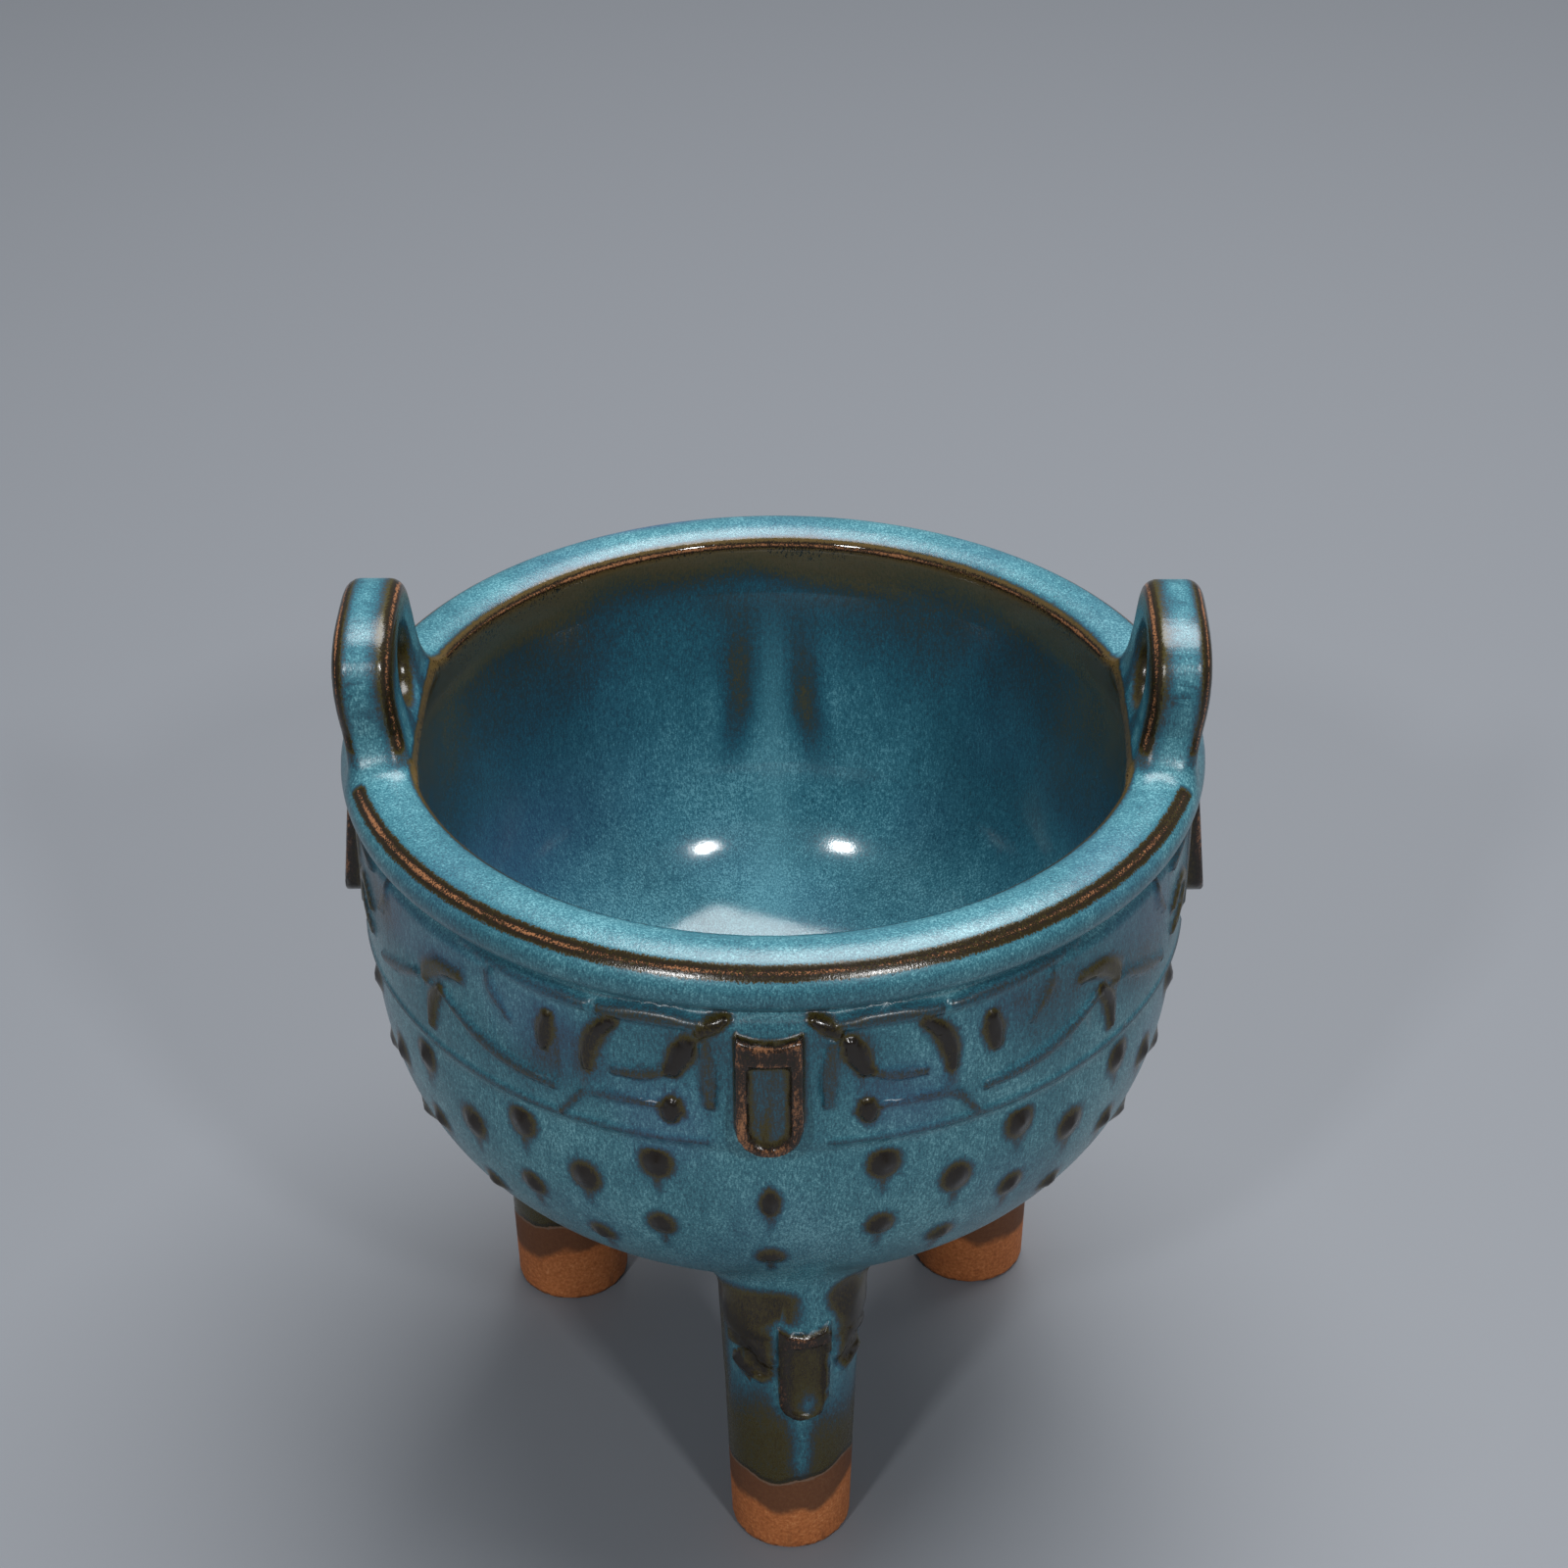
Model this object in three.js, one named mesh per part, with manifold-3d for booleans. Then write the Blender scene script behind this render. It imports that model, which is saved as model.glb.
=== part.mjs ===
// A glazed stoneware tripod censer: a round bowl with a thick lip, two upright
// pierced ears on the rim and three solid legs, all one fired piece.
// Millimetres, +Z up. The origin is on the bowl's axis at the plane of the feet,
// and the front leg stands towards -Y.
import * as THREE from 'three';
import { mergeVertices } from 'three/addons/utils/BufferGeometryUtils.js';
import Module from 'manifold-3d';

const wasm = await Module();
wasm.setup();

// Bowl
const rimHeight = 157.7; // outer edge line of the lip, above the feet
const bellyRadius = 78.7; // outside of the bowl below the frieze
const bellyLevel = 41; // where the underside starts to curve in, below the rim line
const undersideDrop = 60.6; // from that level down to the lowest point of the bowl
const undersideRoundness = 2.5; // exponent of the underside's curve
const wall = 8; // thickness of the bowl's side
const floorThickness = 9; // thickness of the bowl's bottom

// Lip
const lipOverhang = 1.3; // edge line, outside the belly
const lipWidth = 11.4; // from the outer edge line to the inner one
const lipCrown = 1.7; // rise of the rounded top above the outer edge line
const lipSwell = 2.3; // swell of the lip's side beyond the edge line
const lipDepth = 6.9; // height of the lip's side
const neckDepth = 9.2; // deepest point of the groove under the lip
const neckInset = 1; // how far the groove lies inside the belly

// Frieze band between the neck and the studs, and its relief
const friezeTop = 10.8; // below the rim line
const friezeFoot = 39.4; // below the rim line
const friezeProud = 1.1;
const reliefRise = 1.5; // height of the strongest strokes above the band
const reliefRoot = 1.2; // how deep a raised form is rooted in the wall

// Flanges that divide the frieze, at the front, at the back and below the ears
const flangeCount = 4;
const flangeWidth = 11.6;
const flangeTop = 13.4; // below the rim line
const flangeFoot = 38; // below the rim line
const flangeRiseTop = 3.1; // how far its top stands out of the belly
const flangeRiseFoot = 5.5; // how far its foot stands out of the belly
const flangeTurn = -0.8; // degrees
const flangeDip = 1.5; // sag of its saddle-shaped top
const flangeHead = 6; // height of its solid head above the sunk panel
const flangeRim = 2.2; // width of the edge around the panel
const flangePanelDepth = 1;

// Studs in staggered rows below the frieze
const studWidth = 6.4;
const studLength = 7.4;
const studRise = 1.4;
const studFirstRow = 45.3; // below the rim line
const studRowStep = 8.3;
const studRows = 4;
const studStep = 20; // degrees

// Ears
const earWidth = 41; // at the foot
const earTopWidth = 36.6; // where its arch springs
const earSpring = 8; // level where its arch springs, above the rim line
const earArch = 2.8; // exponent of the arch's curve
const earHeight = 26.6; // above the rim line
const earThickness = 11.4;
const earInset = 2; // how far its inner face stands inside the lip's inner edge
const earLean = 6.3; // degrees, outwards
const earBow = 1.2; // outward bow between foot and top
const earEdge = 3; // rounding of its edges
const earFlare = 2.5; // spread of its foot on the lip
const earRoot = 9; // how far it reaches down into the lip and wall
const earRootTaper = 0.9; // share of its thickness lost at the bottom of the root
const earTurn = -1; // degrees
const earHoleWidth = 12.5;
const earHoleFoot = 5.2; // above the rim line
const earBridge = 7.4; // thickness of the ear above its hole

// Legs
const legCount = 3;
const legCircle = 50.8; // distance of each leg's axis from the bowl's
const legTurn = 2.8; // degrees, from the front
const footRadius = 11.9;
const footEdge = 0.8; // worn edge around the sole
const shankRadius = 12.9;
const shankLevel = 36; // above the feet
const shoulderRadius = 13.9;
const shoulderLevel = 60; // above the feet
const legTabWidth = 9.4;
const legTabTop = 62; // above the feet
const legTabFoot = 37.4; // above the feet
const legTabRise = 1.7;
const legTabDip = 1.8;
const legTabHead = 5;
const legTabRim = 1.7;
const legTabPanelDepth = 0.8;
const legReliefTurn = 5; // degrees from the leg's outward side
const bossTurn = 56; // degrees either side of the tab
const bossLevel = 62; // centre of each boss beside the tab, above the feet
const bossWidth = 14;
const bossHeight = 17;
const bossRise = 1.5;

// Fineness of the round forms
const bowlSides = 52;
const legSides = 16;
const earSteps = 3;
const archSteps = 10;
const studSides = 6;
const undersideSteps = 7;
const hollowSteps = 5;
const tabSteps = 3;

const lipRadius = bellyRadius + lipOverhang;
const mouthRadius = lipRadius - lipWidth;
const friezeRadius = bellyRadius + friezeProud;
const bellyHeight = rimHeight - bellyLevel;
const radians = THREE.MathUtils.degToRad;
const lerp = THREE.MathUtils.lerp;
const weldTolerance = 1e-4;

// Half of the frieze's mask, beside a flange. A path point is [degrees from the
// flange's middle, share of the band's height from its top], and a rise is a
// share of the strongest relief.
const maskStrokes = [
  { path: [[7.2, -0.02], [7.3, 0.12]], width: 4.4, rise: 0.8 },
  { path: [[8, 0.2], [7.7, 0.65]], width: 2.4, rise: 0.7 },
  { path: [[10.5, 0.18], [12, 0.43]], width: 4.6, rise: 1.2 },
  { path: [[12, 0.43], [20, 0.51]], width: 2.4, rise: 0.7 },
  { path: [[20, 0.13], [22.4, 0.3], [23.9, 0.5]], width: 3.8, rise: 1 },
  { path: [[29, 0.23], [30, 0.44]], width: 4.4, rise: 0.9 },
  { path: [[45, 0.28], [49, 0.34], [51.5, 0.47]], width: 5, rise: 0.8 },
  { path: [[48.6, 0.47], [50.6, 0.62], [51.2, 0.8]], width: 3.6, rise: 0.9 },
  { path: [[48, 0.48], [42, 0.63], [30, 0.75]], width: 2.3, rise: 0.65 },
  { path: [[12.3, 0.67], [12.8, 0.82]], width: 5, rise: 1.2 },
  { path: [[14, 0.71], [24, 0.72], [27.9, 0.95]], width: 2, rise: 0.5 },
  { path: [[54.5, 0.5], [60, 0.62], [66, 0.73]], width: 2.3, rise: 0.55 },
];

// Half of the carving at the top of a leg. A path point is [degrees from the
// tab's middle, share of the tab's height from its foot].
const legStrokes = [
  { path: [[30, 0.62], [40, 0.75], [66, 0.7]], width: 4.4, rise: 0.8 },
  { path: [[62, 0.48], [36, 0.4]], width: 3.2, rise: 0.7 },
];

// Turns a closed geometry into a solid for joining and cutting.
function solid(geometry) {
  geometry.deleteAttribute('normal');
  geometry.deleteAttribute('uv');
  const merged = mergeVertices(geometry, weldTolerance);
  const corners = merged.index.array;
  const triangles = [];
  for (let i = 0; i < corners.length; i += 3) {
    const [a, b, c] = corners.slice(i, i + 3);
    if (a !== b && b !== c && c !== a) triangles.push(a, b, c);
  }
  const vertProperties = Float32Array.from(merged.attributes.position.array);
  const triVerts = Uint32Array.from(triangles);
  return new wasm.Manifold(new wasm.Mesh({ numProp: 3, vertProperties, triVerts }));
}

// Moves every point of a geometry by a function of its own coordinates.
function reshaped(geometry, place) {
  const position = geometry.attributes.position;
  const point = new THREE.Vector3();
  for (let i = 0; i < position.count; i += 1) {
    point.fromBufferAttribute(position, i);
    point.copy(place(point.x, point.y, point.z));
    position.setXYZ(i, point.x, point.y, point.z);
  }
  return geometry;
}

// Turns a profile of [radius, height] points about +Z.
function turned(profile, sides) {
  const points = profile.map(([radius, height]) => new THREE.Vector2(radius, height));
  return new THREE.LatheGeometry(points, sides).rotateX(Math.PI / 2);
}

// A point at an angle in degrees from the front, about an upright axis.
function around(turn, radius, height, centre = { x: 0, y: 0 }) {
  const angle = radians(turn);
  return new THREE.Vector3(centre.x + radius * Math.sin(angle), centre.y - radius * Math.cos(angle), height);
}

// The curved underside of a bowl, from the axis up to just below its widest level.
function undersideProfile(radius, drop, steps) {
  const profile = [[0, bellyHeight - drop]];
  for (let i = 1; i < steps; i += 1) {
    const angle = (Math.PI / 2) * (i / steps);
    const across = Math.sin(angle) ** (2 / undersideRoundness);
    const down = Math.cos(angle) ** (2 / undersideRoundness);
    profile.push([radius * across, bellyHeight - drop * down]);
  }
  return profile;
}

// Outside of the bowl's wall at a depth below the rim line.
function wallRadius(depth) {
  if (depth < friezeFoot) return friezeRadius;
  const share = Math.min(Math.max((depth - bellyLevel) / undersideDrop, 0), 1);
  return bellyRadius * (1 - share ** undersideRoundness) ** (1 / undersideRoundness);
}

// Outside of a leg at a height above the feet.
function legRadius(height) {
  if (height < shankLevel) return lerp(footRadius, shankRadius, height / shankLevel);
  const share = (height - shankLevel) / (shoulderLevel - shankLevel);
  return lerp(shankRadius, shoulderRadius, Math.min(share, 1));
}

// The bowl before it is hollowed out, up to and over the lip.
function bowlBlank() {
  const profile = [
    ...undersideProfile(bellyRadius, undersideDrop, undersideSteps),
    [bellyRadius, bellyHeight],
    [friezeRadius, rimHeight - friezeFoot],
    [friezeRadius, rimHeight - friezeTop],
    [bellyRadius - neckInset, rimHeight - neckDepth],
    [lipRadius + 0.6 * lipSwell, rimHeight - lipDepth],
    [lipRadius + lipSwell, rimHeight - 0.55 * lipDepth],
    [lipRadius + 0.7 * lipSwell, rimHeight - 0.2 * lipDepth],
    [lipRadius, rimHeight],
    [lipRadius - 0.3 * lipWidth, rimHeight + lipCrown],
    [lipRadius - 0.7 * lipWidth, rimHeight + 0.9 * lipCrown],
    [mouthRadius, rimHeight - 0.5 * lipCrown],
    [0, rimHeight - 0.5 * lipCrown],
  ];
  return solid(turned(profile, bowlSides));
}

// The hollow of the bowl, open at the top.
function bowlHollow() {
  const radius = bellyRadius - wall;
  const open = rimHeight + lipWidth;
  const profile = [
    ...undersideProfile(radius, undersideDrop - floorThickness, hollowSteps),
    [radius, bellyHeight],
    [radius, rimHeight - friezeTop],
    [mouthRadius, rimHeight - 0.5 * lipCrown],
    [mouthRadius, open],
    [0, open],
  ];
  return solid(turned(profile, bowlSides));
}

// A raised stroke along a path of [degrees, level] points on a round surface.
// onSurface places degrees, level and distance out, and radius scales the degrees.
function stroke({ path, width, rise }, side, radius, onSurface) {
  const perDegree = radius * radians(1);
  const points = path.map(([turn, level]) => new THREE.Vector2(side * turn * perDegree, level));
  const curve = new THREE.SplineCurve(points);
  return solid(reshaped(new THREE.BoxGeometry(1, 1, 1, path.length, 1, 1), (along, across, up) => {
    const share = along + 0.5;
    const taper = lerp(0.4, 1, Math.sin(Math.PI * share));
    const half = across * width * taper * (up > 0 ? 0.6 : 1.2);
    const slope = curve.getTangent(share);
    const spot = curve.getPoint(share);
    const out = up > 0 ? rise * reliefRise * lerp(0.6, 1, taper) : -reliefRoot;
    return onSurface((spot.x - slope.y * half) / perDegree, spot.y + slope.x * half, out);
  }));
}

// The outline of a tab with a sagging top and a round foot, hanging from y = 0.
function tabOutline(width, length, dip) {
  const half = width / 2;
  const shape = new THREE.Shape();
  shape.moveTo(-half, half - length);
  shape.absarc(0, half - length, half, Math.PI, 2 * Math.PI, false);
  shape.lineTo(half, 0);
  shape.quadraticCurveTo(0, -2 * dip, -half, 0);
  return shape;
}

// A raised tab with a sunk panel. place takes the distance across, the distance
// below its top, and 0 at the root to 1 at its face.
function tab({ width, length, dip, head, rim, panel }, place) {
  const extrusion = { depth: 1, bevelEnabled: false, curveSegments: tabSteps };
  const body = new THREE.ExtrudeGeometry(tabOutline(width, length, dip), extrusion);
  const pocket = new THREE.ExtrudeGeometry(tabOutline(width - 2 * rim, length - head - rim, 0), extrusion);
  const outer = solid(reshaped(body, (x, y, z) => place(x * (1 - 0.06 * z), y, z)));
  const inner = solid(reshaped(pocket, (x, y, z) => place(x, y - head, 1 - panel + 2 * panel * z)));
  return outer.subtract(inner);
}

function flange(turn) {
  const length = flangeFoot - flangeTop;
  const panel = flangePanelDepth / flangeRiseFoot;
  return tab({ width: flangeWidth, length, dip: flangeDip, head: flangeHead, rim: flangeRim, panel }, (x, y, z) => {
    const rise = lerp(flangeRiseTop, flangeRiseFoot, -y / length);
    const radius = bellyRadius + lerp(-reliefRoot, rise, z);
    return around(turn + THREE.MathUtils.radToDeg(x / bellyRadius), radius, rimHeight - flangeTop + y);
  });
}

// A low pointed stud on the bowl, turned out along the wall's slope.
function stud(turn, depth) {
  const down = new THREE.Vector3(0, 0, -1).add(around(turn, wallRadius(depth + 1) - wallRadius(depth), 0));
  down.normalize();
  const across = around(turn + 90, 1, 0);
  const frame = new THREE.Matrix4().makeBasis(across, new THREE.Vector3().crossVectors(down, across), down);
  frame.setPosition(around(turn, wallRadius(depth), rimHeight - depth));
  const height = studRise + reliefRoot;
  const spread = height / studRise;
  const cone = new THREE.ConeGeometry(spread, height, studSides).translate(0, studRise - height / 2, 0);
  return solid(cone.scale(studWidth / 2, 1, studLength / 2).applyMatrix4(frame));
}

// The studs stand in even steps between two flanges. Odd rows leave each flange's
// line free, and even rows have a stud on it.
function studs() {
  const sector = 360 / flangeCount;
  const perSector = Math.round(sector / studStep);
  const all = [];
  for (let row = 0; row < studRows; row += 1) {
    const onFlange = row % 2 === 1;
    const margin = (sector - (perSector - 1) * studStep) / 2;
    for (let sectorIndex = 0; sectorIndex < flangeCount; sectorIndex += 1) {
      const start = flangeTurn + sectorIndex * sector;
      const depth = studFirstRow + row * studRowStep;
      if (onFlange) all.push(stud(start, depth));
      const count = onFlange ? perSector - 1 : perSector;
      const first = onFlange ? margin + studStep / 2 : margin;
      for (let i = 0; i < count; i += 1) all.push(stud(start + first + i * studStep, depth));
    }
  }
  return all;
}

// The mask's two halves, at the front flange and at the back one.
function frieze() {
  const band = friezeFoot - friezeTop;
  const all = [];
  for (const middle of [flangeTurn, flangeTurn + 180]) {
    for (const side of [-1, 1]) {
      for (const { path, ...rest } of maskStrokes) {
        const drawn = { path: path.map(([turn, share]) => [turn, -friezeTop - share * band]), ...rest };
        all.push(stroke(drawn, side, friezeRadius, (turn, level, out) => (
          around(middle + turn, friezeRadius + out, rimHeight + level)
        )));
      }
    }
  }
  return all;
}

// The upright outline of an ear above and below the rim line, with its hole.
function earOutline() {
  const foot = earWidth / 2;
  const shape = new THREE.Shape();
  shape.moveTo(-foot - earFlare, -earRoot);
  shape.lineTo(foot + earFlare, -earRoot);
  shape.lineTo(foot + earFlare, 0);
  shape.quadraticCurveTo(foot, 0, foot, 2 * earFlare);
  for (let i = 0; i <= archSteps; i += 1) {
    const angle = (Math.PI * i) / archSteps;
    const across = Math.sign(Math.cos(angle)) * Math.abs(Math.cos(angle)) ** (2 / earArch);
    const up = Math.sin(angle) ** (2 / earArch);
    shape.lineTo((across * earTopWidth) / 2, earSpring + (earHeight - earSpring) * up);
  }
  shape.lineTo(-foot, 2 * earFlare);
  shape.quadraticCurveTo(-foot, 0, -foot - earFlare, 0);
  const hole = new THREE.Path();
  const holeHalf = (earHeight - earHoleFoot - earBridge) / 2;
  hole.absellipse(0, earHoleFoot + holeHalf, earHoleWidth / 2, holeHalf, 0, 2 * Math.PI, true);
  shape.holes.push(hole);
  return shape;
}

// An ear, leaning outwards from the lip at an angle in degrees from the front.
function ear(turn) {
  const geometry = new THREE.ExtrudeGeometry(earOutline(), {
    depth: earThickness - 2 * earEdge,
    bevelThickness: earEdge,
    bevelSize: earEdge,
    bevelOffset: -earEdge,
    bevelSegments: 2,
    curveSegments: earSteps,
  });
  const lean = Math.tan(radians(earLean));
  const rootShare = 0.6;
  reshaped(geometry, (across, level, through) => {
    const share = THREE.MathUtils.clamp(level / earHeight, 0, 1);
    const straight = mouthRadius - earInset + earEdge + through;
    const rooted = lerp(straight, bellyRadius - rootShare * wall, (earRootTaper * -level) / earRoot);
    const leaning = straight + level * lean + earBow * 4 * share * (1 - share);
    return new THREE.Vector3(across, level < 0 ? -rooted : -leaning, rimHeight + level);
  });
  return solid(geometry.rotateZ(radians(turn)));
}

// A leg, rising into the bowl far enough to meet its underside all round.
function leg(turn) {
  const centre = around(turn, legCircle, 0);
  const profile = [
    [0, 0],
    [footRadius - footEdge, 0],
    [footRadius, footEdge],
    [shankRadius, shankLevel],
    [shoulderRadius, shoulderLevel],
    [shoulderRadius, bellyHeight],
    [0, bellyHeight],
  ];
  const shaft = solid(turned(profile, legSides)).translate([centre.x, centre.y, 0]);
  const front = turn + legReliefTurn;
  const length = legTabTop - legTabFoot;
  const onLeg = (degrees, height, out) => around(front + degrees, legRadius(height) + out, height, centre);
  const panel = legTabPanelDepth / (legTabRise + reliefRoot);
  const tabSizes = { width: legTabWidth, length, dip: legTabDip, head: legTabHead, rim: legTabRim, panel };
  const parts = [shaft, tab(tabSizes, (x, y, z) => (
    onLeg(THREE.MathUtils.radToDeg(x / shankRadius), legTabTop + y, lerp(-reliefRoot, legTabRise, z))
  ))];
  for (const side of [-1, 1]) {
    const boss = reshaped(new THREE.IcosahedronGeometry(1, 1), (x, y, z) => {
      const across = THREE.MathUtils.radToDeg((x * bossWidth) / 2 / shoulderRadius);
      return onLeg(side * bossTurn + across, bossLevel + (y * bossHeight) / 2, z * bossRise);
    });
    parts.push(solid(boss));
    for (const { path, ...rest } of legStrokes) {
      const drawn = { path: path.map(([degrees, share]) => [degrees, legTabFoot + share * length]), ...rest };
      parts.push(stroke(drawn, side, shoulderRadius, onLeg));
    }
  }
  return parts;
}

function censer() {
  let body = bowlBlank();
  const raised = [...studs(), ...frieze()];
  for (let i = 0; i < flangeCount; i += 1) raised.push(flange(flangeTurn + (360 * i) / flangeCount));
  for (let i = 0; i < legCount; i += 1) raised.push(...leg(legTurn + (360 * i) / legCount));
  for (const form of raised) body = body.add(form);
  body = body.subtract(bowlHollow());
  for (const side of [-1, 1]) body = body.add(ear(side * 90 + earTurn));
  return body;
}

function meshOf(body, name, material) {
  const { vertProperties, triVerts } = body.getMesh();
  const geometry = new THREE.BufferGeometry();
  geometry.setAttribute('position', new THREE.BufferAttribute(vertProperties, 3));
  geometry.setIndex(new THREE.BufferAttribute(triVerts, 1));
  geometry.computeVertexNormals();
  const mesh = new THREE.Mesh(geometry, material);
  mesh.name = name;
  return mesh;
}

const glaze = new THREE.MeshStandardMaterial({ color: 0x3f7f92, roughness: 0.3, metalness: 0 });

const model = new THREE.Group();
model.add(meshOf(censer(), 'censer', glaze));

export default model;
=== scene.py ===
"""Looks for the tripod censer: one glazed piece, its floor, camera and light.

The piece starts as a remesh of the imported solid. Every vertex is then moved onto
a smooth surface given as one distance function in millimetres, built from the
same sizes as the solid, and the glaze takes its thickness from that surface.
"""
import math

import bpy
import numpy as np
from mathutils import Matrix, Vector


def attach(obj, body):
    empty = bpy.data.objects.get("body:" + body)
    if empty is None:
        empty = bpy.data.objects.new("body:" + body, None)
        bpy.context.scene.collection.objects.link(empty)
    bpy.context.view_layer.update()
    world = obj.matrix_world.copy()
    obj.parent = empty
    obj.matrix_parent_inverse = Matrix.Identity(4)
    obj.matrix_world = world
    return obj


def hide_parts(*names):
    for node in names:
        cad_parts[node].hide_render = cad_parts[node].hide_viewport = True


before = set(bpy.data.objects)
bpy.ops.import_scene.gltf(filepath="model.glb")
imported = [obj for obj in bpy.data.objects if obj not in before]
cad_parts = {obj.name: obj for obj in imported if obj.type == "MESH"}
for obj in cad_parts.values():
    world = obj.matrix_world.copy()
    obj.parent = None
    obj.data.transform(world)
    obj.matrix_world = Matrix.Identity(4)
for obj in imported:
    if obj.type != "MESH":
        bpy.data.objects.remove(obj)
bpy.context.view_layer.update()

MM = 0.001

VOXEL = 0.9
TRIANGLES = 190000
SLOPE_STEP = 0.12
NORMAL_STEP = 0.25
BEND_REACH = 1.3

# Bowl and lip, in millimetres. Depths are below the lip's outer edge line.
RIM = 157.7
BELLY_RADIUS = 78.7
BELLY_LEVEL = 41.0
UNDERSIDE_DROP = 60.6
ROUNDNESS = 2.5
WALL = 8.0
FLOOR_THICKNESS = 9.0
LIP_RADIUS = 80.0
LIP_INNER_RADIUS = 69.0
MOUTH_RADIUS = 68.6
HOLLOW_TOP = 60
# Radius and height of the rounded lip, from the inside wall over to the frieze.
LIP_SECTION = [
    (70.7, -12.5), (70.3, -9), (69.5, -5.6), (68.85, -2.4), (68.9, -0.9), (69.6, 0.25), (70.9, 1.0),
    (72.7, 1.55), (74.7, 1.75), (76.8, 1.55), (78.7, 0.95), (80.0, 0.0), (81.1, -1.2), (81.9, -2.6),
    (82.2, -4.0), (82.0, -5.6), (81.2, -7.1), (80.0, -8.2), (78.6, -8.9), (77.9, -9.5), (78.2, -10.4),
    (79.2, -11.4), (79.8, -12.8),
]
FRIEZE_RADIUS = 79.7
# Radius and height of the frieze's plain ground, from the lip down to the belly.
FRIEZE_SECTION = [
    (FRIEZE_RADIUS, -20), (FRIEZE_RADIUS, -34), (FRIEZE_RADIUS - 0.1, -38.2), (BELLY_RADIUS + 0.5, -39.8),
]
# Depths over which the mask's strokes rise from the groove and end at the frieze's foot,
# and depths between which the wall has any relief.
STROKES_START = (8.8, 10.4)
STROKES_END = (39.6, 41.5)
RELIEF_TOP = 8.5
RELIEF_FOOT = 80

# Flanges
FLANGE_TURN = -0.8
FLANGE_WIDTH = 11.6
FLANGE_TOP = 13.4
FLANGE_FOOT = 38.0
FLANGE_LENGTH = FLANGE_FOOT - FLANGE_TOP
FLANGE_RISE = (3.1, 5.5)
FLANGE_DIP = 1.5
FLANGE_HEAD = 6.0
FLANGE_RIM = 2.2
FLANGE_PANEL = 1.2
FLANGE_FILLET = 1.4

# Studs: half width and half height of one, the share of both in the lower rows, and the
# share of the width of the one that sits below a flange.
STUD_SIZE = (3.3, 3.9)
STUD_RISE = 1.3
LOW_STUD_DEPTH = 60
LOW_STUD_SHARE = 0.88
MIDDLE_STUD_SHARE = 0.62
# The depth of each row, and its studs in degrees from a flange's middle.
STUD_ROWS = [
    (45.3, (-35, -15, 15, 35)),
    (53.2, (-45, -25.5, 0, 25.5, 45)),
    (61.5, (-35, -15, 15, 35)),
    (69.8, (-45, -25, 0, 25, 45)),
]
STUDS = [(turn, depth) for depth, turns in STUD_ROWS for turn in turns]

# Ears
EAR_TURN = -1.0
EAR_WIDTH = 41.0
EAR_TOP_WIDTH = 36.6
EAR_FLARE = 1.5
EAR_ROOT = 14
EAR_SPRING = 8.0
EAR_ARCH = 2.8
EAR_HEIGHT = 26.6
EAR_THICKNESS = 11.4
EAR_INSET = 2.0
EAR_LEAN = 6.3
EAR_BOW = 1.2
EAR_EDGE = 3.0
EAR_FILLET = 4.0
# Half width and half height of the hole, and the height of its middle.
EAR_HOLE = (6.25, 7.0, 12.2)
EAR_HOLE_SCALE = 6.4

# Legs: heights are above the table, and a turn is in degrees.
LEG_CIRCLE = 50.8
LEG_TURN = 2.8
LEG_PROFILE = [(0.0, 11.9), (36.0, 12.9), (60.0, 13.9), (120.0, 13.9)]
LEG_EDGE = 0.9
LEG_FILLET = 4.5
LEG_STOP = 4
TAB_TURN = 9.0
TAB_WIDTH = 9.4
TAB_TOP = 62.0
TAB_FOOT = 37.4
TAB_DIP = 1.8
TAB_HEAD = 5.0
TAB_RIM = 1.7
TAB_RISE = 1.7
TAB_PANEL = 0.8
TAB_REACH = 60
# The radius on which the tab, the strokes and the bosses are measured around the leg.
TAB_RADIUS = 12.9
CARVING_RADIUS = 13.5
BOSS_RADIUS = 13.9
BOSS_TURN = 56.0
BOSS_LEVEL = 62.0
BOSS_SIZE = (7.5, 8.5)
BOSS_RISE = 1.2
# Strokes on both sides of a tab. A point is millimetres from the tab's middle and the
# height; then come the width and the rise.
LEG_STROKES = [
    ([(7, 52.5), (10, 55.8), (15.5, 54.8)], 4.2, 1.0),
    ([(14.5, 49.2), (8.4, 47.2)], 3.0, 0.9),
]

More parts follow.
